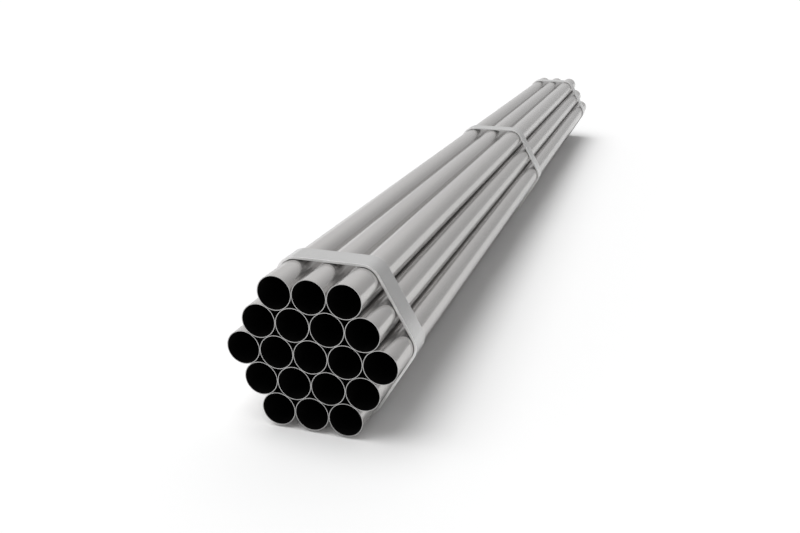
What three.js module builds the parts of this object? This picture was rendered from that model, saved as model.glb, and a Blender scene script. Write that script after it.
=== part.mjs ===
// A hexagonal bundle of nineteen steel pipes, held together by three flat steel straps.
// Millimetres. X runs across the bundle, Y along the pipes, +Z is up, and z = 0 is the floor
// that the straps stand on. The origin is the middle of the bundle's footprint.

import * as THREE from 'three';

// ---------- driving dimensions ----------

// pipe: plain-ended thin-walled tube, 121 x 2.5 mm, in a 6 m stock length
const PIPE_DIAMETER = 121;
const PIPE_WALL = 2.5;
const PIPE_LENGTH = 6000;
const PIPE_EDGE_BREAK = 0.4;       // deburred outer edge of each sawn end
const PIPE_SIDES = 48;             // a multiple of 12, so that neighbours meet on a corner

// bundle: rows of 3, 4, 5, 4 and 3 pipes, a regular hexagon lying on one of its flats
const SIDE_PIPE_COUNT = 3;         // pipes along each side of the hexagon
const PIPE_GAP = 0.3;              // between two pipes that lie against each other

// strap: a hoop of flat steel, bent round the six corner pipes and closed by a weld
const STRAP_WIDTH = 100;
const STRAP_THICKNESS = 9;
const STRAP_SEAT_GAP = 0.3;        // under the bottom row, which lies in the hoop
const STRAP_SLACK = 2;             // over the top row
const STRAP_ARC_STEPS = 4;         // half the number of facets in each rounded corner
const WELD_WIDTH = 14;             // the bead that closes the hoop
const WELD_HEIGHT = 2;
const WELD_FLAT = 3;               // on the lower left flat, the upper right one being number 0

// where the straps sit: the outer two by their free edges' distance from the pipe ends, and
// the middle one by how far its centre lies from the middle of the pipes (minus is forward)
const FRONT_STRAP_INSET = 165;
const BACK_STRAP_INSET = 250;
const MIDDLE_STRAP_OFFSET = -75;

// ---------- sizes that follow ----------

const HEXAGON_SIDES = 6;
const CORNER_TURN = (2 * Math.PI) / HEXAGON_SIDES;            // from one corner to the next

const PIPE_RADIUS = PIPE_DIAMETER / 2;
const BORE_RADIUS = PIPE_RADIUS - PIPE_WALL;
const PITCH = PIPE_DIAMETER + PIPE_GAP;
const ROW_HEIGHT = PITCH * Math.sin(CORNER_TURN);
const ROW_COUNT = 2 * SIDE_PIPE_COUNT - 1;
const CORNER_DISTANCE = (SIDE_PIPE_COUNT - 1) * PITCH;     // middle pipe to a corner pipe

// The hoop's slack lies above the bundle, so the hoop's centre is a little above the bundle's.
const HOOP_CLEARANCE = (STRAP_SLACK + STRAP_SEAT_GAP) / 2;
const HOOP_INNER_RADIUS = PIPE_RADIUS + HOOP_CLEARANCE;
const HOOP_OUTER_RADIUS = HOOP_INNER_RADIUS + STRAP_THICKNESS;
const HALF_HEIGHT_OF_CORNERS = CORNER_DISTANCE * Math.sin(CORNER_TURN);
const HOOP_CENTRE_Z = HALF_HEIGHT_OF_CORNERS + HOOP_OUTER_RADIUS;
const BUNDLE_CENTRE_Z = HOOP_CENTRE_Z - (STRAP_SLACK - STRAP_SEAT_GAP) / 2;

// ---------- materials ----------

const pipeSteel = new THREE.MeshStandardMaterial({
  name: 'pipe_steel',
  color: 0xb4b3b1,
  roughness: 0.32,
  metalness: 1,
});

const strapSteel = new THREE.MeshStandardMaterial({
  name: 'strap_steel',
  color: 0xa9a9a8,
  roughness: 0.6,
  metalness: 1,
});

// ---------- pipes ----------

// One pipe along Y: its wall's section, with broken outer edges, turned about the axis.
function makePipeGeometry() {
  const end = PIPE_LENGTH / 2;
  const outline = [
    [BORE_RADIUS, -end],
    [PIPE_RADIUS - PIPE_EDGE_BREAK, -end],
    [PIPE_RADIUS, -end + PIPE_EDGE_BREAK],
    [PIPE_RADIUS, end - PIPE_EDGE_BREAK],
    [PIPE_RADIUS - PIPE_EDGE_BREAK, end],
    [BORE_RADIUS, end],
    [BORE_RADIUS, -end],
  ];
  const points = outline.map(([radius, along]) => new THREE.Vector2(radius, along));
  return new THREE.LatheGeometry(points, PIPE_SIDES);
}

// The rows from the top down, each row from left to right.
function addPipes(bundle) {
  const geometry = makePipeGeometry();
  for (let row = 0; row < ROW_COUNT; row += 1) {
    const rowsAboveMiddle = SIDE_PIPE_COUNT - 1 - row;
    const pipesInRow = ROW_COUNT - Math.abs(rowsAboveMiddle);
    for (let place = 0; place < pipesInRow; place += 1) {
      const pipe = new THREE.Mesh(geometry, pipeSteel);
      pipe.name = `pipe_row${row + 1}_${place + 1}`;
      pipe.position.x = (place - (pipesInRow - 1) / 2) * PITCH;
      pipe.position.z = BUNDLE_CENTRE_Z + rowsAboveMiddle * ROW_HEIGHT;
      bundle.add(pipe);
    }
  }
}

// ---------- straps ----------

// The hoop's path at one distance from the centres of the corner pipes: six arcs, one round
// each corner, which the straight flats join. Between two arcs, drawFlat can add to a flat.
function drawHoop(path, radius, drawFlat = () => {}) {
  for (let corner = 0; corner < HEXAGON_SIDES; corner += 1) {
    const angle = corner * CORNER_TURN;
    const x = CORNER_DISTANCE * Math.cos(angle);
    const y = CORNER_DISTANCE * Math.sin(angle);
    path.absarc(x, y, radius, angle - CORNER_TURN / 2, angle + CORNER_TURN / 2, false);
    drawFlat(corner);
  }
  path.closePath();
  return path;
}

// The weld bead: a low hump across the middle of one flat.
function drawWeld(path, corner) {
  if (corner !== WELD_FLAT) {
    return;
  }
  const outward = (WELD_FLAT + 0.5) * CORNER_TURN;
  const flatDistance = CORNER_DISTANCE * Math.cos(CORNER_TURN / 2) + HOOP_OUTER_RADIUS;
  const onFlat = (height, along) => [
    (flatDistance + height) * Math.cos(outward) - along * Math.sin(outward),
    (flatDistance + height) * Math.sin(outward) + along * Math.cos(outward),
  ];
  path.lineTo(...onFlat(0, -WELD_WIDTH / 2));
  path.quadraticCurveTo(...onFlat(2 * WELD_HEIGHT, 0), ...onFlat(0, WELD_WIDTH / 2));
}

function makeStrapGeometry() {
  const section = new THREE.Shape();
  drawHoop(section, HOOP_OUTER_RADIUS, (corner) => drawWeld(section, corner));
  section.holes.push(drawHoop(new THREE.Path(), HOOP_INNER_RADIUS));
  return new THREE.ExtrudeGeometry(section, {
    depth: STRAP_WIDTH,
    curveSegments: STRAP_ARC_STEPS,
    bevelEnabled: false,
  });
}

// The section is drawn upright, so it is turned to face along the pipes.
function addStraps(bundle) {
  const geometry = makeStrapGeometry();
  const halfWidth = STRAP_WIDTH / 2;
  const middles = {
    strap_front: -PIPE_LENGTH / 2 + FRONT_STRAP_INSET + halfWidth,
    strap_middle: MIDDLE_STRAP_OFFSET,
    strap_back: PIPE_LENGTH / 2 - BACK_STRAP_INSET - halfWidth,
  };
  for (const [name, middle] of Object.entries(middles)) {
    const strap = new THREE.Mesh(geometry, strapSteel);
    strap.name = name;
    strap.rotation.x = Math.PI / 2;
    strap.position.y = middle + halfWidth;
    strap.position.z = HOOP_CENTRE_Z;
    bundle.add(strap);
  }
}

// ---------- the bundle ----------

const bundle = new THREE.Group();
bundle.name = 'pipe_bundle';
addPipes(bundle);
addStraps(bundle);

export default bundle;
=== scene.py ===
# %% [markdown]
# # A strapped bundle of steel pipes
#
# Nineteen round steel pipes lie side by side in a hexagonal stack, three, four, five, four and
# three to a row. Three flat steel hoops are bent round the stack and welded shut, so that it
# can be lifted, shipped and stored as one load. The lesson dresses the measured solids of this
# bundle with finer meshes and with steel finishes, and then lights it on a white floor.

# %% [markdown]
# ## Loading the measured model
#
# The solids come in as a fixed frame: each pipe and each hoop is an object with its own name,
# in metres, standing where it stands in the real bundle. Everything made below takes its place
# and its outer size from the box of one of these solids, which is safer than typing the
# numbers again.

# %% Load the frame
import math

import bmesh
import bpy
from mathutils import Matrix, Vector


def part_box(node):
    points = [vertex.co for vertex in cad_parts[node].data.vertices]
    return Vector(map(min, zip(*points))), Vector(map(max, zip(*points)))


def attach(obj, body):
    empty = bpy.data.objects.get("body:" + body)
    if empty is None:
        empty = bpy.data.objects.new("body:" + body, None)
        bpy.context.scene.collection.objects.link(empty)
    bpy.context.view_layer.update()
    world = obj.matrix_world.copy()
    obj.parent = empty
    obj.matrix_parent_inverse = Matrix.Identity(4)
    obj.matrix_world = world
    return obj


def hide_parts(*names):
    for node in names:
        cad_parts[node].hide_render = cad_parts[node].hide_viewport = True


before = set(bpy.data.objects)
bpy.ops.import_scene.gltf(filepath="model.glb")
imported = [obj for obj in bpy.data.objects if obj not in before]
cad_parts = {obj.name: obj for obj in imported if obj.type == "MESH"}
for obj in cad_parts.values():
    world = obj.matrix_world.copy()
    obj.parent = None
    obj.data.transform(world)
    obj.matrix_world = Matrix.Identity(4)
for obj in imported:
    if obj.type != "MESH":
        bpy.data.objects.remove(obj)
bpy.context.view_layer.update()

# %% [markdown]
# ## Finding the pipes and the hoops
#
# The names of the solids say what they are: `pipe_row2_3` is the third pipe from the left in
# the second row from the top. A pipe's box gives its axis and its radius, so the middle of the
# box is noted for each one. The same middles tell later on which pipes touch.

# %% Axis and radius of each pipe
PIPE_NAMES = sorted(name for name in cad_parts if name.startswith("pipe_"))
STRAP_NAMES = sorted(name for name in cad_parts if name.startswith("strap_"))


def pipe_axis(name):
    low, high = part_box(name)
    return Vector(((low.x + high.x) / 2, 0.0, (low.z + high.z) / 2))


AXES = {name: pipe_axis(name) for name in PIPE_NAMES}
first_low, first_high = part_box(PIPE_NAMES[0])
PIPE_RADIUS = (first_high.x - first_low.x) / 2
PIPE_FRONT = first_low.y
PIPE_BACK = first_high.y
CENTRE = sum(AXES.values(), Vector()) / len(AXES)
print("pipes:", len(AXES), "radius:", round(PIPE_RADIUS, 4), "centre:", tuple(CENTRE))

# %% [markdown]
# ## Turning rings of points into a mesh
#
# A pipe and a hoop are both a closed section carried round a closed path, like the surface of
# a ring doughnut. One helper is enough for both: it takes a list of rings with equally many
# points, joins each ring to the next with four-sided faces, and joins the last one to the
# first. A revolve or a bevelled curve would also do, but with rings the material of each band
# of faces and the width of each bevel can be chosen exactly.

# %% Helper for closed bands
def band_mesh(name, rings, materials, material_of):
    shape = bmesh.new()
    loops = [[shape.verts.new(point) for point in ring] for ring in rings]
    sides = len(rings[0])
    for i, loop in enumerate(loops):
        following = loops[(i + 1) % len(loops)]
        for j in range(sides):
            k = (j + 1) % sides
            face = shape.faces.new((loop[j], loop[k], following[k], following[j]))
            face.material_index = material_of(i, j)
            face.smooth = True
    bmesh.ops.recalc_face_normals(shape, faces=shape.faces)
    mesh = bpy.data.meshes.new(name)
    shape.to_mesh(mesh)
    shape.free()
    for material in materials:
        mesh.materials.append(material)
    piece = bpy.data.objects.new(name, mesh)
    bpy.context.scene.collection.objects.link(piece)
    return piece


# %% [markdown]
# ## Node helpers
#
# The finishes are all drawn by nodes, so that they stay sharp at any distance and need no
# image files. A few short helpers keep the material cells readable. These four add a node and
# set its values, make noise at a chosen scale along each axis, spread a value over a chosen
# range, and combine two values.

# %% Helpers for nodes
def add_node(tree, kind, **values):
    node = tree.nodes.new(kind)
    for key, value in values.items():
        setattr(node, key, value)
    return node


def stretched_noise(tree, scale, detail, roughness=0.5, shift=(0.0, 0.0, 0.0)):
    place = add_node(tree, "ShaderNodeTexCoord")
    mapping = add_node(tree, "ShaderNodeMapping")
    mapping.inputs["Scale"].default_value = scale
    mapping.inputs["Location"].default_value = shift
    noise = add_node(tree, "ShaderNodeTexNoise")
    noise.inputs["Scale"].default_value = 1.0
    noise.inputs["Detail"].default_value = detail
    noise.inputs["Roughness"].default_value = roughness
    tree.links.new(place.outputs["Object"], mapping.inputs["Vector"])
    tree.links.new(mapping.outputs["Vector"], noise.inputs["Vector"])
    return noise.outputs["Fac"]


def in_range(tree, value, ends, levels, blend="LINEAR"):
    spread = add_node(tree, "ShaderNodeMapRange", interpolation_type=blend)
    for name, number in zip(("From Min", "From Max", "To Min", "To Max"), (*ends, *levels)):
        spread.inputs[name].default_value = number
    tree.links.new(value, spread.inputs["Value"])
    return spread.outputs["Result"]


def of_two(tree, operation, first, second):
    node = add_node(tree, "ShaderNodeMath", operation=operation)
    tree.links.new(first, node.inputs[0])
    tree.links.new(second, node.inputs[1])
    return node.outputs["Value"]


# %% [markdown]
# ## Finish helpers
#
# Every finish starts from the same kind of shader, and noise then drives its colour, its
# roughness and a fine bump. Nearly all of what a noise texture gives lies between 0.3 and 0.7,
# so those two values stand for its darkest and its lightest places.

# %% Helpers for finishes
NOISE_ENDS = (0.3, 0.7)


def new_material(name, metallic):
    material = bpy.data.materials.new(name)
    material.use_nodes = True
    shader = material.node_tree.nodes["Principled BSDF"]
    shader.inputs["Metallic"].default_value = metallic
    return material, material.node_tree, shader


def two_tone(tree, noise, dark, light):
    ramp = add_node(tree, "ShaderNodeValToRGB")
    for element, position, colour in zip(ramp.color_ramp.elements, NOISE_ENDS, (dark, light)):
        element.position = position
        element.color = (*colour, 1.0)
    tree.links.new(noise, ramp.inputs["Fac"])
    return ramp.outputs["Color"]


def colour_by(tree, shader, noise, dark, light):
    tree.links.new(two_tone(tree, noise, dark, light), shader.inputs["Base Color"])


def dull_by(tree, shader, noise, roughness):
    tree.links.new(in_range(tree, noise, NOISE_ENDS, roughness), shader.inputs["Roughness"])


def bump_by(tree, shader, noise, height):
    node = add_node(tree, "ShaderNodeBump")
    node.inputs["Strength"].default_value = 1.0
    node.inputs["Distance"].default_value = height
    tree.links.new(noise, node.inputs["Height"])
    tree.links.new(node.outputs["Normal"], shader.inputs["Normal"])


# %% [markdown]
# ## The drawn steel of the pipes
#
# Cold drawn steel, wiped clean, is a mirror with a soft haze. Drawing leaves very faint lines
# along the pipe, and handling leaves areas a little duller than others. The metal itself is
# almost neutral, with a trace of warmth. The long lines come from fine noise that is stretched
# along the pipe, and slower noise shifts the roughness from place to place. A gloss drawn out
# in one direction would suit drawn steel too, but it needs a direction for every face, which
# not every viewer works out alike, and from a few steps away a plain soft gloss looks the same.
# What is left of the oil makes the skin a little less metallic and takes the glare off a pipe
# that is seen along its length. The tint of the gloss does that, because it sets how bright a
# metal mirrors at a grazing angle.

# %% Pipe skin
STEEL_LIGHT = (0.615, 0.603, 0.595)
STEEL_DARK = (0.58, 0.568, 0.56)
STEEL_METALLIC = 0.82
STEEL_SPECULAR = 0.1
STEEL_GLARE = (0.77, 0.77, 0.77, 1.0)
DRAW_LINES = (420.0, 0.9, 420.0)
LINE_ROUGHNESS = (0.0, 0.02)
LINE_HEIGHT = 0.000002
HAZE = (9.0, 1.6, 9.0)
HAZE_ROUGHNESS = (0.19, 0.21)


def pipe_skin():
    material, tree, shader = new_material("drawn_steel", STEEL_METALLIC)
    lines = stretched_noise(tree, DRAW_LINES, detail=3.0)
    haze = stretched_noise(tree, HAZE, detail=4.0, roughness=0.55, shift=(3.1, 0.4, 1.7))
    colour_by(tree, shader, haze, STEEL_DARK, STEEL_LIGHT)
    hazed = in_range(tree, haze, NOISE_ENDS, HAZE_ROUGHNESS)
    lined = in_range(tree, lines, NOISE_ENDS, LINE_ROUGHNESS)
    tree.links.new(of_two(tree, "ADD", hazed, lined), shader.inputs["Roughness"])
    bump_by(tree, shader, lines, LINE_HEIGHT)
    shader.inputs["Specular IOR Level"].default_value = STEEL_SPECULAR
    shader.inputs["Specular Tint"].default_value = STEEL_GLARE
    return material


DRAWN_STEEL = pipe_skin()
print("finish:", DRAWN_STEEL.name, "nodes:", len(DRAWN_STEEL.node_tree.nodes))

# %% [markdown]
# ## The sawn ends
#
# A pipe is cut to length with a cold saw and its edges are broken with a deburring tool. The
# cut shows bright bare metal with fine parallel marks from the saw teeth, duller than the
# drawn skin. A wave texture would draw parallel lines as well, but all alike. Noise that is
# squeezed in one direction across the cut gives lines of uneven depth and length.

# %% Cut end
CUT_LIGHT = (0.55, 0.546, 0.542)
CUT_DARK = (0.40, 0.396, 0.392)
CUT_ROUGHNESS = (0.42, 0.26)
SAW_MARKS = (60.0, 60.0, 1400.0)
SAW_MARK_HEIGHT = 0.00002


def cut_end():
    material, tree, shader = new_material("sawn_steel", metallic=1.0)
    marks = stretched_noise(tree, SAW_MARKS, detail=2.0, roughness=0.6)
    colour_by(tree, shader, marks, CUT_DARK, CUT_LIGHT)
    dull_by(tree, shader, marks, CUT_ROUGHNESS)
    bump_by(tree, shader, marks, SAW_MARK_HEIGHT)
    return material


SAWN_STEEL = cut_end()
print("finish:", SAWN_STEEL.name, "nodes:", len(SAWN_STEEL.node_tree.nodes))

# %% [markdown]
# ## The bore
#
# Inside, the pipe keeps the dark skin of the mill, a thin scale. Almost no light comes back out
# of a tube six metres long. With a brighter skin the mouths would grow dark only after many
# bounces of light, which take long to render. So the bore is coloured near black, darker than
# the scale itself: painted shade, dull and with slow changes of tone, which is black at once.

# %% Bore
SCALE_AND_SHADE_DARK = (0.0012, 0.0012, 0.0013)
SCALE_AND_SHADE_LIGHT = (0.0042, 0.0040, 0.0038)
SCALE_ROUGHNESS = (0.72, 0.9)
SCALE_SPECULAR = 0.08
SCALE_PATCHES = (30.0, 5.0, 30.0)
SCALE_HEIGHT = 0.0002


def bore_scale_and_painted_shade():
    material, tree, shader = new_material("bore_scale_and_painted_shade", metallic=0.0)
    shader.inputs["Specular IOR Level"].default_value = SCALE_SPECULAR
    patches = stretched_noise(
        tree, SCALE_PATCHES, detail=5.0, roughness=0.6, shift=(0.0, 2.0, 5.0)
    )
    colour_by(tree, shader, patches, SCALE_AND_SHADE_DARK, SCALE_AND_SHADE_LIGHT)
    dull_by(tree, shader, patches, SCALE_ROUGHNESS)
    bump_by(tree, shader, patches, SCALE_HEIGHT)
    return material


BORE_SCALE_AND_SHADE = bore_scale_and_painted_shade()
print("finish:", BORE_SCALE_AND_SHADE.name, "nodes:", len(BORE_SCALE_AND_SHADE.node_tree.nodes))

# %% [markdown]
# ## Painted shade in the closed gaps
#
# Where three pipes touch they shut in a narrow three-sided channel. Only the mouths of the
# channels show. With the bright skin they would light up, because it mirrors light on from
# wall to wall. The skin inside the channels gets a near-black, glossy metal instead: this is
# painted shade, which keeps the mouths as black as the bores.

# %% Painted shade in the gaps
GAP_SHADE_DARK = (0.010, 0.0095, 0.009)
GAP_SHADE_LIGHT = (0.022, 0.020, 0.018)
GAP_SHADE_ROUGHNESS = (0.24, 0.36)
GAP_SHADE_PATCHES = (60.0, 4.0, 60.0)


def painted_gap_shade():
    material, tree, shader = new_material("painted_gap_shade", metallic=0.9)
    shade_patches = stretched_noise(tree, GAP_SHADE_PATCHES, detail=3.0, roughness=0.6, shift=(5.0, 1.0, 2.0))
    colour_by(tree, shader, shade_patches, GAP_SHADE_DARK, GAP_SHADE_LIGHT)
    dull_by(tree, shader, shade_patches, GAP_SHADE_ROUGHNESS)
    return material


PAINTED_GAP_SHADE = painted_gap_shade()
print("finish:", PAINTED_GAP_SHADE.name, "nodes:", len(PAINTED_GAP_SHADE.node_tree.nodes))

# %% [markdown]
# ## A pipe
#
# The pipe's wall is a thin closed section turned about the pipe's axis: along the outside, over
# the broken edge, across the cut, over the inner edge and back through the bore. Each broken
# edge is a small quarter round in three steps, which catches a bright line of light at every
# mouth. Smooth shading blends the direction of a face into the next one, and on a face as long
# as the pipe it would bend the mirror image from end to end. A guard point close beside each
# round keeps the blend within its own narrow strip, and the long faces true.

# %% Section of the wall
PIPE_WALL = 0.0025
EDGE_ROUND = 0.0004
EDGE_STEPS = 3
GUARD_GAP = 0.0004
POINTS_OF_CORNER = EDGE_STEPS + 3
SECTION_CORNERS = 4


def guard_point(corner, beyond):
    gap = GUARD_GAP / math.dist(corner, beyond)
    return tuple(a + gap * (b - a) for a, b in zip(corner, beyond))


def with_guards(corners):
    section = []
    for i, corner in enumerate(corners):
        before, after = corners[i - 1][-1], corners[(i + 1) % len(corners)][0]
        section += [guard_point(corner[0], before), *corner, guard_point(corner[-1], after)]
    return section


def straight_side(index):
    corner, step = divmod(index, POINTS_OF_CORNER)
    if 1 <= step <= EDGE_STEPS:
        return None
    return corner if step else (corner - 1) % SECTION_CORNERS


def rounded_corner(y, radius, toward_y, toward_radius):
    steps = []
    for i in range(EDGE_STEPS + 1):
        turn = math.pi / 2 * i / EDGE_STEPS
        steps.append(
            (
                y + toward_y * EDGE_ROUND * (1 - math.sin(turn)),
                radius + toward_radius * EDGE_ROUND * (1 - math.cos(turn)),
            )
        )
    return steps


def wall_section():
    outer, inner = PIPE_RADIUS, PIPE_RADIUS - PIPE_WALL
    return with_guards(
        [
            rounded_corner(PIPE_BACK, outer, -1, -1),
            rounded_corner(PIPE_BACK, inner, -1, 1)[::-1],
            rounded_corner(PIPE_FRONT, inner, 1, 1),
            rounded_corner(PIPE_FRONT, outer, 1, -1)[::-1],
        ]
    )


SECTION = wall_section()
print("points in the wall's section:", len(SECTION))

# %% [markdown]
# ## Which finish goes where
#
# The straight sides of the section are counted round: the back cut, the bore, the front cut and
# the skin. The cuts and all the rounds get the sawn finish, and the bore gets the near-black
# scale with its painted shade. The skin is divided into six sectors, one between each two of the
# six directions in which a neighbour can lie. Where a pipe lies in both directions, the three
# pipes shut in a channel, and the skin of that sector gets the painted shade of the gaps. Working
# this out from the pipes' axes is surer than picking strips of faces by hand, and it still holds
# if the stack changes.

# %% Finishes of a pipe
PIPE_MATERIALS = [DRAWN_STEEL, SAWN_STEEL, BORE_SCALE_AND_SHADE, PAINTED_GAP_SHADE]
SKIN, CUT, BORE, GAP = 0, 1, 2, 3
INSIDE, OUTSIDE = 1, 3
PIPE_SIDES = 96
SECTORS = 6
NEAR = PIPE_RADIUS / 4


def closed_sectors(name):
    touching = []
    for sector in range(SECTORS):
        turn = 2 * math.pi * sector / SECTORS
        beside = AXES[name] + 2 * PIPE_RADIUS * Vector((math.cos(turn), 0.0, math.sin(turn)))
        touching.append(any((axis - beside).length < NEAR for axis in AXES.values()))
    return [touching[sector] and touching[(sector + 1) % SECTORS] for sector in range(SECTORS)]


def finish_of_band(i, j, closed):
    side = straight_side(i)
    if side == OUTSIDE:
        # The skin of a closed sector gets the painted shade of the gaps.
        return GAP if closed[j * SECTORS // PIPE_SIDES] else SKIN
    return BORE if side == INSIDE else CUT


# Count the sectors of skin that get the painted gap shade.
print("sectors with painted gap shade:", sum(sum(closed_sectors(name)) for name in PIPE_NAMES))

# %% [markdown]
# ## Nineteen pipes
#
# Each pipe is the same section turned about its own axis, in 96 steps, so that it looks round
# from close by as well. Nineteen copies of one mesh would be lighter, but the sectors with
# painted shade differ from pipe to pipe, so each pipe gets a mesh of its own.

# %% Build the pipes
def build_pipe(name):
    axis = AXES[name]
    rings = []
    for y, radius in SECTION:
        ring = []
        for j in range(PIPE_SIDES):
            turn = 2 * math.pi * j / PIPE_SIDES
            ring.append(
                (axis.x + radius * math.cos(turn), y, axis.z + radius * math.sin(turn))
            )
        rings.append(ring)
    closed = closed_sectors(name)

    def finish(i, j):
        return finish_of_band(i, j, closed)

    piece = band_mesh(name + "_steel", rings, PIPE_MATERIALS, finish)
    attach(piece, "root")
    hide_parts(name)
    return piece


pipes = [build_pipe(name) for name in PIPE_NAMES]
print("pipes built:", len(pipes), "faces each:", len(pipes[0].data.polygons))

# %% [markdown]
# ## The line of a hoop
#
# Six corner pipes carry each hoop: it runs straight from one to the next and bends round each
# of them by a sixth of a turn. The line is set out from the middle of the hoop: a pivot close
# to the axis of every corner pipe and a fan of directions about it. A ray along each direction
# then crosses the bar squarely. Bending a straight bar with a modifier would also work, but
# the flats would have to be measured, and here they come out by themselves.

# %% Path round the stack
BEND_STEPS = 12
CORNERS = 6
BEND = 360 / CORNERS
PITCH = abs(AXES["pipe_row1_2"].x - AXES["pipe_row1_1"].x)
REACH = 2 * PITCH


def hoop_path(name):
    low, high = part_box(name)
    centre_z = (low.z + high.z) / 2
    path = []
    for corner in range(CORNERS):
        facing = math.radians(BEND * corner)
        pivot = (CENTRE.x + REACH * math.cos(facing), centre_z + REACH * math.sin(facing))
        for step in range(BEND_STEPS + 1):
            turn = facing + math.radians(BEND * step / BEND_STEPS - BEND / 2)
            path.append((pivot, turn))
    return path


hoop_low, hoop_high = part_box(STRAP_NAMES[0])
HOOP_OUTER = (hoop_high.x - hoop_low.x) / 2 - REACH
print("hoop bends at radius", round(HOOP_OUTER, 5), "round pivots", round(REACH, 4), "out")

# %% [markdown]
# ## The place of the weld
#
# The two ends of the bar meet on the lower left flat, where the weld is out of the way of a
# fork or a sling. Its middle is needed twice, for the bead itself and for the heat colours
# beside it, so it is worked out once: square to the flat, at the flat's distance.

# %% Middle of the weld
WELD_FACING = math.radians(210)
FLAT_DISTANCE = REACH * math.cos(math.radians(BEND / 2)) + HOOP_OUTER
HOOP_CENTRE = Vector((CENTRE.x, 0.0, (hoop_low.z + hoop_high.z) / 2))
OUTWARD = Vector((math.cos(WELD_FACING), 0.0, math.sin(WELD_FACING)))
ALONG_FLAT = Vector((-math.sin(WELD_FACING), 0.0, math.cos(WELD_FACING)))
WELD_MIDDLE = HOOP_CENTRE + FLAT_DISTANCE * OUTWARD
print("middle of the weld:", tuple(round(value, 4) for value in WELD_MIDDLE))

# %% [markdown]
# ## The steel of the hoops
#
# The hoops are flat rolled bar, bright like the pipes but with a plainer, flatter sheen, and a
# tint like that of the pipes holds back their glare. Rolling leaves a slight grain along the
# bar, which noise squeezed across the bar's width gives. Beside the weld the heat has tinted
# the steel: grey blue next to the bead, then brown, then straw. Colours painted on the mesh
# would be as coarse as its long faces, so a ramp draws them over the distance from the weld's
# middle line, with some noise to make their edges wander.

# %% Hoop skin
BAR_LIGHT = (0.605, 0.603, 0.60)
BAR_DARK = (0.588, 0.586, 0.583)
BAR_METALLIC = 0.75
BAR_GLARE = (0.76, 0.76, 0.76, 1.0)
BAR_ROUGHNESS = (0.13, 0.145)
BAR_GRAIN = (14.0, 900.0, 14.0)
GRAIN_HEIGHT = 0.0000006
BAR_PATCHES = (26.0, 26.0, 26.0)
HEAT_WOBBLE = (70.0, 70.0, 70.0)
HEAT_COLOURS = (
    (0.006, (0.33, 0.35, 0.40)),
    (0.011, (0.40, 0.31, 0.33)),
    (0.017, (0.52, 0.43, 0.30)),
    (0.026, (0.59, 0.56, 0.50)),
)
HEAT_REACH = 0.034
HEAT_FADES = 0.020
HEAT_WANDER = (-0.002, 0.002)


def distance_from_weld(tree):
    place = add_node(tree, "ShaderNodeTexCoord")
    flatten = add_node(tree, "ShaderNodeMapping")
    flatten.inputs["Scale"].default_value = (1.0, 0.0, 1.0)
    measure = add_node(tree, "ShaderNodeVectorMath", operation="DISTANCE")
    measure.inputs[1].default_value = WELD_MIDDLE
    tree.links.new(place.outputs["Object"], flatten.inputs["Vector"])
    tree.links.new(flatten.outputs["Vector"], measure.inputs[0])
    wobble = stretched_noise(tree, HEAT_WOBBLE, detail=3.0)
    wander = in_range(tree, wobble, NOISE_ENDS, HEAT_WANDER)
    return of_two(tree, "ADD", measure.outputs["Value"], wander)


def heat_tint(tree, away):
    ramp = add_node(tree, "ShaderNodeValToRGB")
    while len(ramp.color_ramp.elements) < len(HEAT_COLOURS):
        ramp.color_ramp.elements.new(0.5)
    for element, (distance, colour) in zip(ramp.color_ramp.elements, HEAT_COLOURS):
        element.position = distance / HEAT_REACH
        element.color = (*colour, 1.0)
    tree.links.new(in_range(tree, away, (0.0, HEAT_REACH), (0.0, 1.0)), ramp.inputs["Fac"])
    return ramp.outputs["Color"]


def hoop_skin():
    material, tree, shader = new_material("rolled_bar", BAR_METALLIC)
    shader.inputs["Specular Tint"].default_value = BAR_GLARE
    grain = stretched_noise(tree, BAR_GRAIN, detail=2.0, roughness=0.6)
    patches = stretched_noise(tree, BAR_PATCHES, detail=5.0, roughness=0.6, shift=(1.0, 7.0, 2.0))
    away = distance_from_weld(tree)
    blend = add_node(tree, "ShaderNodeMix", data_type="RGBA")
    untinted = in_range(tree, away, (HEAT_FADES, HEAT_REACH), (0.0, 1.0))
    tree.links.new(untinted, blend.inputs["Factor"])
    tree.links.new(heat_tint(tree, away), blend.inputs["A"])
    tree.links.new(two_tone(tree, patches, BAR_DARK, BAR_LIGHT), blend.inputs["B"])
    tree.links.new(blend.outputs["Result"], shader.inputs["Base Color"])
    dull_by(tree, shader, grain, BAR_ROUGHNESS)
    bump_by(tree, shader, grain, GRAIN_HEIGHT)
    return material


ROLLED_BAR = hoop_skin()
print("finish:", ROLLED_BAR.name, "nodes:", len(ROLLED_BAR.node_tree.nodes))

# %% [markdown]
# ## The sheared edges of the bar
#
# Flat bar of this width is slit from plate, and the shear leaves its edges paler and more matte
# than the rolled faces. Their colour is made lighter still as a painted highlight, so that they
# draw a light line round every hoop. The marks of the shear are short and close together, so
# their noise is fine all over the narrow sides. A finish of its own for those sides is simpler
# than a mask in the finish of the bar.

# %% Sheared edge
SHEAR_LIGHT_AND_HIGHLIGHT = (0.88, 0.875, 0.87)
SHEAR_DARK_AND_HIGHLIGHT = (0.74, 0.735, 0.73)
SHEAR_ROUGHNESS = (0.26, 0.4)
SHEAR_MARKS = (700.0, 40.0, 700.0)


def sheared_edge_and_highlight():
    material, tree, shader = new_material("sheared_edge_and_highlight", metallic=0.5)
    marks = stretched_noise(tree, SHEAR_MARKS, detail=2.0, roughness=0.6)
    colour_by(tree, shader, marks, SHEAR_DARK_AND_HIGHLIGHT, SHEAR_LIGHT_AND_HIGHLIGHT)
    dull_by(tree, shader, marks, SHEAR_ROUGHNESS)
    return material


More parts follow.
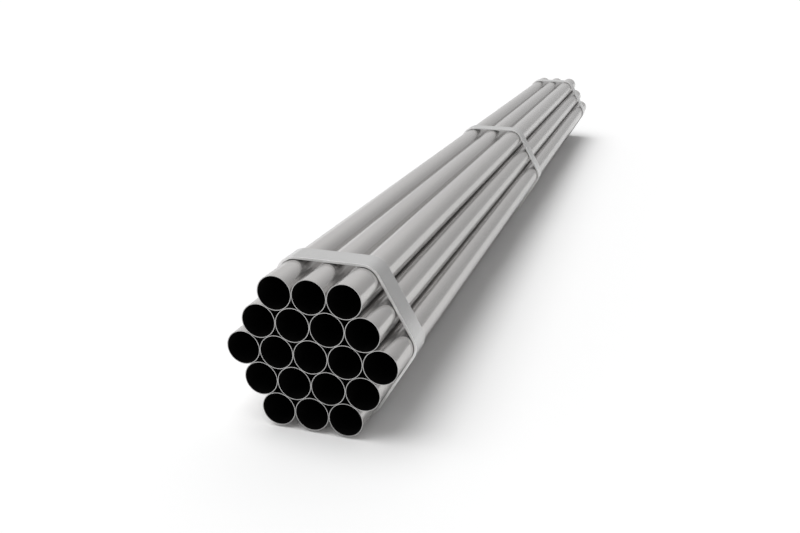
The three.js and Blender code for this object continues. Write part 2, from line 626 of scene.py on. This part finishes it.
SHEARED_EDGE_AND_HIGHLIGHT = sheared_edge_and_highlight()
print("finish:", SHEARED_EDGE_AND_HIGHLIGHT.name, "nodes:", len(SHEARED_EDGE_AND_HIGHLIGHT.node_tree.nodes))

# %% [markdown]
# ## The colour of the weld
#
# The bead is duller than the bar round it. It is grey, with brownish places where the scale has
# stayed on, and those are darker and duller than the rest. One noise drives the colour, the
# roughness and the bump together, because all three come from the same scale.

# %% Weld skin
WELD_GREY = (0.36, 0.35, 0.34)
WELD_BROWN = (0.22, 0.19, 0.16)
WELD_ROUGHNESS = (0.55, 0.3)
WELD_SCALE = (90.0, 90.0, 90.0)
WELD_SCALE_HEIGHT = 0.0001


def weld_skin():
    material, tree, shader = new_material("weld_bead", metallic=0.9)
    scale = stretched_noise(tree, WELD_SCALE, detail=4.0, roughness=0.6)
    colour_by(tree, shader, scale, WELD_BROWN, WELD_GREY)
    dull_by(tree, shader, scale, WELD_ROUGHNESS)
    bump_by(tree, shader, scale, WELD_SCALE_HEIGHT)
    return material


WELD_BEAD = weld_skin()
print("finish:", WELD_BEAD.name, "nodes:", len(WELD_BEAD.node_tree.nodes))

# %% [markdown]
# ## The bar of a hoop
#
# The bar's section is a rectangle, 100 mm by 9 mm, whose four edges are broken by a small
# quarter round in three steps. It is laid out in two measures: how far out from the pivot and
# how far along the bundle. Its straight sides are counted like those of the pipe's wall, and it
# gets the same guard points. A bevel modifier would break the edges too, but it would take the
# weld with it. The two narrow sides and all the rounds get the sheared finish with its painted
# highlight.

# %% Section of the bar
HOOP_MATERIALS = [ROLLED_BAR, SHEARED_EDGE_AND_HIGHLIGHT, WELD_BEAD]
BAR, SHEARED, WELD = 0, 1, 2
STRAP_THICKNESS = 0.009
STRAP_EDGE = 0.0008
QUARTER = 90


def bar_section(outer, front, back):
    inner = outer - STRAP_THICKNESS
    corners = (
        (outer, back, -1, -1),
        (inner, back, 1, -1),
        (inner, front, 1, 1),
        (outer, front, -1, 1),
    )
    rounds = []
    for i, (radius, y, toward_radius, toward_y) in enumerate(corners):
        turns = [
            math.radians(QUARTER * i + QUARTER * step / EDGE_STEPS)
            for step in range(EDGE_STEPS + 1)
        ]
        rounds.append(
            [
                (
                    radius + toward_radius * STRAP_EDGE + STRAP_EDGE * math.cos(turn),
                    y + toward_y * STRAP_EDGE + STRAP_EDGE * math.sin(turn),
                )
                for turn in turns
            ]
        )
    return with_guards(rounds)


def finish_of_bar(i, j):
    return BAR if straight_side(j) in (INSIDE, OUTSIDE) else SHEARED


bar_points = bar_section(HOOP_OUTER, hoop_low.y, hoop_high.y)
print("points in the bar's section:", len(bar_points))

# %% [markdown]
# ## The weld bead
#
# A hand-laid bead is a low hump of overlapping ripples, each one a crescent where the melt
# stopped for a moment. It could be faked with a bump map, but its outline shows against the
# bar, so it is real shape: a strip of small faces across the bar, whose height is a hump
# multiplied by a row of rounded steps. The steps lag behind at the sides, which bows them into
# crescents. Both ends run out flat, and the strip is closed underneath, just inside the bar.

# %% Shape of the bead
WELD_WIDTH = 0.014
WELD_HEIGHT = 0.002
WELD_SINK = 0.0004
WELD_RUN_OUT = 0.004
RIPPLES = 30
RIPPLE_STEPS = 6
RIPPLE_DEPTH = 0.28
RIPPLE_BOW = 0.8
RIPPLE_CREST = 0.6
SWAY_DEPTH = 0.05
SWAY_FAST = 0.9
SWAY_SLOW = 0.23
END_WIDTH = 0.55
END_SPREAD = 0.45
WELD_COLUMNS = 14


def weld_point(middle_y, length, row, column):
    rows = RIPPLES * RIPPLE_STEPS
    along = length * (row / rows - 0.5)
    across = 2 * column / WELD_COLUMNS - 1
    to_end = min(1.0, (length / 2 - abs(along)) / WELD_RUN_OUT)
    run_out = math.sqrt(1 - (1 - to_end) ** 2)
    phase = math.pi * (row / RIPPLE_STEPS - RIPPLE_BOW * across**2)
    ripple = abs(math.sin(phase)) ** RIPPLE_CREST
    hump = (1 - across**2) * (1 - RIPPLE_DEPTH + RIPPLE_DEPTH * ripple)
    sway = 1 + SWAY_DEPTH * math.sin(SWAY_FAST * row) * math.sin(SWAY_SLOW * row + 1)
    side = across * WELD_WIDTH / 2 * (END_WIDTH + END_SPREAD * run_out) * sway
    height = WELD_HEIGHT * hump * run_out - WELD_SINK * across**2
    return WELD_MIDDLE + side * ALONG_FLAT + height * OUTWARD + Vector((0, middle_y + along, 0))


def lay_weld(piece, front, back):
    shape = bmesh.new()
    shape.from_mesh(piece.data)
    length = back - front - 2 * STRAP_EDGE
    rows = [
        [
            shape.verts.new(weld_point((front + back) / 2, length, row, column))
            for column in range(WELD_COLUMNS + 1)
        ]
        for row in range(RIPPLES * RIPPLE_STEPS + 1)
    ]
    faces = [shape.faces.new(rows[0]), shape.faces.new(rows[-1][::-1])]
    for row, following in zip(rows, rows[1:]):
        for column in range(len(row)):
            beside = (column + 1) % len(row)
            faces.append(
                shape.faces.new((row[beside], row[column], following[column], following[beside]))
            )
    for face in faces:
        face.material_index = WELD
        face.smooth = True
    bmesh.ops.recalc_face_normals(shape, faces=faces)
    shape.to_mesh(piece.data)
    shape.free()


print("faces of a bead:", RIPPLES * RIPPLE_STEPS * (WELD_COLUMNS + 1) + 2)

# %% [markdown]
# ## Three hoops
#
# The bar's section is carried round the line of the hoop and closes on itself, as the real bar
# does at its weld. The bead is laid on the same mesh, because bar and bead are one piece of
# steel once the melt has set.

# %% Build the hoops
def build_hoop(name):
    low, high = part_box(name)
    section = bar_section(HOOP_OUTER, low.y, high.y)
    rings = []
    for (x, z), turn in hoop_path(name):
        rings.append(
            [(x + radius * math.cos(turn), y, z + radius * math.sin(turn)) for radius, y in section]
        )
    piece = band_mesh(name + "_bar", rings, HOOP_MATERIALS, finish_of_bar)
    lay_weld(piece, low.y, high.y)
    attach(piece, "root")
    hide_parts(name)
    return piece


hoops = [build_hoop(name) for name in STRAP_NAMES]
print("hoops built:", len(hoops), "faces each:", len(hoops[0].data.polygons))

# %% [markdown]
# ## Creases
#
# The rounds of the pipes and bars turn by 30 degrees at most from face to face, and they have to
# shade smoothly. A bead turns more steeply where its top meets its underside and in the deepest
# grooves between its ripples, and there the shading has to break off. Marking the sharp edges
# by angle does both in one step for every piece.

# %% Mark sharp edges
CREASE = math.radians(38)
for piece in pipes + hoops:
    piece.data.set_sharp_from_angle(angle=CREASE)
print("sharp edges of a hoop:", sum(edge.use_edge_sharp for edge in hoops[0].data.edges))

# %% [markdown]
# ## The floor
#
# The bundle lies on a plain floor that runs to the horizon. A matte, nearly white colour is all
# it needs: the lights further on are set so that the open floor just reaches full white, and
# the shadow of the bundle keeps its depth.

# %% Floor
FLOOR_SIZE = 400.0
FLOOR_COLOUR = (0.92, 0.92, 0.92, 1.0)


def build_floor():
    shape = bmesh.new()
    bmesh.ops.create_grid(shape, x_segments=1, y_segments=1, size=FLOOR_SIZE)
    mesh = bpy.data.meshes.new("floor")
    shape.to_mesh(mesh)
    shape.free()
    floor = bpy.data.objects.new("floor", mesh)
    bpy.context.scene.collection.objects.link(floor)
    material = bpy.data.materials.new("white_floor")
    material.use_nodes = True
    tree = material.node_tree
    tree.nodes.clear()
    out = add_node(tree, "ShaderNodeOutputMaterial")
    matte = add_node(tree, "ShaderNodeBsdfDiffuse")
    matte.inputs["Color"].default_value = FLOOR_COLOUR
    tree.links.new(matte.outputs["BSDF"], out.inputs["Surface"])
    mesh.materials.append(material)


build_floor()
print("side of the floor:", 2 * FLOOR_SIZE)

# %% [markdown]
# ## The studio
#
# Steel shows its surroundings more than its own colour, so the room matters as much as the
# lamp. Panels stood round the bundle would be near it and would show their edges in the steel.
# This room is drawn on the world instead, as far away as the sky, by the direction of each
# ray: X is its part to the right, Y along the bundle and Z upward. Eased steps over these parts
# give the walls soft edges. All rays see the same room.

# %% Eased steps
RISING = (0.0, 1.0)
FALLING = (1.0, 0.0)


def eased(tree, value, ends, levels):
    return in_range(tree, value, ends, levels, "SMOOTHSTEP")


print("an eased step rises from", RISING[0], "to", RISING[1])

# %% [markdown]
# ## The backdrop
#
# Beyond both ends of the bundle the backdrop is a soft grey that grows darker toward the right,
# which gives the round pipes their shading. Overhead and beside the bundle it is dimmer, so
# that the shadow on the floor keeps its depth. Behind the far end a pale window stands low at
# the left and lights the pipes' left edges.

# %% Backdrop and window
SKY_ENDS = (-0.30, 0.62)
SKY_LEVELS = (0.89, 0.41)
ASIDE_ENDS = (0.35, 0.85)
ASIDE_LEVELS = (0.45, 1.0)
FAR_WALL = (0.70, 0.88)
WINDOW_EDGE = (-0.45, -0.34)
WINDOW_LEVELS = (0.40, 0.0)
WINDOW_TOP = (0.06, 0.25)


def backdrop_level(tree, parts):
    across = eased(tree, parts.outputs["X"], SKY_ENDS, SKY_LEVELS)
    ahead = add_node(tree, "ShaderNodeMath", operation="ABSOLUTE")
    tree.links.new(parts.outputs["Y"], ahead.inputs[0])
    aside = in_range(tree, ahead.outputs["Value"], ASIDE_ENDS, ASIDE_LEVELS)
    return of_two(tree, "MULTIPLY", across, aside)


def window_level(tree, parts):
    at_left = eased(tree, parts.outputs["X"], WINDOW_EDGE, WINDOW_LEVELS)
    low_down = eased(tree, parts.outputs["Z"], WINDOW_TOP, FALLING)
    behind = eased(tree, parts.outputs["Y"], FAR_WALL, RISING)
    return of_two(tree, "MULTIPLY", of_two(tree, "MULTIPLY", at_left, low_down), behind)


print("backdrop from left to right:", SKY_LEVELS, "window adds:", WINDOW_LEVELS[0])

# %% [markdown]
# ## The cove and the soft box
#
# Low down a white cove meets the floor: only a strip of it behind the far end, and more of it
# on the other sides. A soft box hangs overhead, a little to the left. It is a bright disc whose
# edge falls off with the angle from its middle.

# %% Cove and soft box
COVE_STRIP = (0.0, 0.05)
COVE_TOP = (0.10, 0.30)
LAMP_FROM = Vector((-0.30, -0.11, 1.0)).normalized()
SOFT_BOX_EDGE = (math.cos(math.radians(34)), math.cos(math.radians(22)))
SOFT_BOX_LEVELS = (0.0, 1.2)


def cove_level(tree, parts):
    strip = eased(tree, parts.outputs["Z"], COVE_STRIP, FALLING)
    low_down = eased(tree, parts.outputs["Z"], COVE_TOP, FALLING)
    not_behind = eased(tree, parts.outputs["Y"], FAR_WALL, FALLING)
    return of_two(tree, "MAXIMUM", strip, of_two(tree, "MULTIPLY", low_down, not_behind))


def soft_box_level(tree, place):
    toward = add_node(tree, "ShaderNodeVectorMath", operation="DOT_PRODUCT")
    toward.inputs[1].default_value = LAMP_FROM
    tree.links.new(place.outputs["Generated"], toward.inputs[0])
    return eased(tree, toward.outputs["Value"], SOFT_BOX_EDGE, SOFT_BOX_LEVELS)


print("degrees up to the strip's top:", round(math.degrees(math.asin(COVE_STRIP[1])), 1))

# %% [markdown]
# ## The world
#
# The window adds to the backdrop. Of the walls and the soft box, whichever is brighter in a
# direction is the one that shows there.

# %% Build the world
WHITE = (1.0, 1.0, 1.0, 1.0)


def build_world():
    world = bpy.data.worlds.new("studio")
    bpy.context.scene.world = world
    world.use_nodes = True
    tree = world.node_tree
    tree.nodes.clear()
    out = add_node(tree, "ShaderNodeOutputWorld")
    sky = add_node(tree, "ShaderNodeBackground")
    sky.inputs["Color"].default_value = WHITE
    place = add_node(tree, "ShaderNodeTexCoord")
    parts = add_node(tree, "ShaderNodeSeparateXYZ")
    tree.links.new(place.outputs["Generated"], parts.inputs["Vector"])
    far_wall = of_two(tree, "ADD", backdrop_level(tree, parts), window_level(tree, parts))
    walls = of_two(tree, "MAXIMUM", far_wall, cove_level(tree, parts))
    level = of_two(tree, "MAXIMUM", walls, soft_box_level(tree, place))
    tree.links.new(level, sky.inputs["Strength"])
    tree.links.new(sky.outputs["Background"], out.inputs["Surface"])
    print("nodes of the studio:", len(tree.nodes))


build_world()

# %% [markdown]
# ## The lamp
#
# The soft box alone would leave a weak shadow. A sun lamp with a very wide disc shines from the
# same place and does most of the lighting. Mirror surfaces show only the soft box, as they do
# beside a real one, where the bulb stays hidden behind its cloth.

# %% Lamp
LAMP_SPREAD = math.radians(56)
LAMP_STRENGTH = 1.70


def build_lamp():
    lamp = bpy.data.lights.new("overhead", "SUN")
    lamp.angle = LAMP_SPREAD
    lamp.energy = LAMP_STRENGTH
    holder = bpy.data.objects.new("overhead", lamp)
    holder.rotation_euler = (-LAMP_FROM).to_track_quat("-Z", "Y").to_euler()
    holder.visible_glossy = False
    bpy.context.scene.collection.objects.link(holder)


build_lamp()
print("the lamp shines from", tuple(round(value, 3) for value in LAMP_FROM))

# %% [markdown]
# ## The camera
#
# The camera stands in front of the bundle, to the right and well above it, and looks along its
# length. The lens is a moderate wide one, so the near mouths are large and the far end is
# small. The camera's turn is built from the direction of sight and a small roll.

# %% Camera
EYE = Vector((1.003, -5.207, 1.445))
SIGHT = Vector((0.305, -3.0, 0.630))
ROLL = math.radians(0.49)
LENS = 36.63
SENSOR = 36.0
VIEW_DISTANCE = 1000.0


def build_camera():
    lens = bpy.data.cameras.new("camera")
    lens.lens = LENS
    lens.sensor_width = SENSOR
    lens.clip_end = VIEW_DISTANCE
    camera = bpy.data.objects.new("camera", lens)
    turn = (SIGHT - EYE).to_track_quat("-Z", "Y").to_matrix().to_4x4()
    camera.matrix_world = Matrix.Translation(EYE) @ turn @ Matrix.Rotation(ROLL, 4, "Z")
    bpy.context.scene.collection.objects.link(camera)
    bpy.context.scene.camera = camera


build_camera()
bpy.context.scene.view_settings.view_transform = "Standard"
print("distance from the camera to the front mouths:", round((SIGHT - EYE).length, 3))
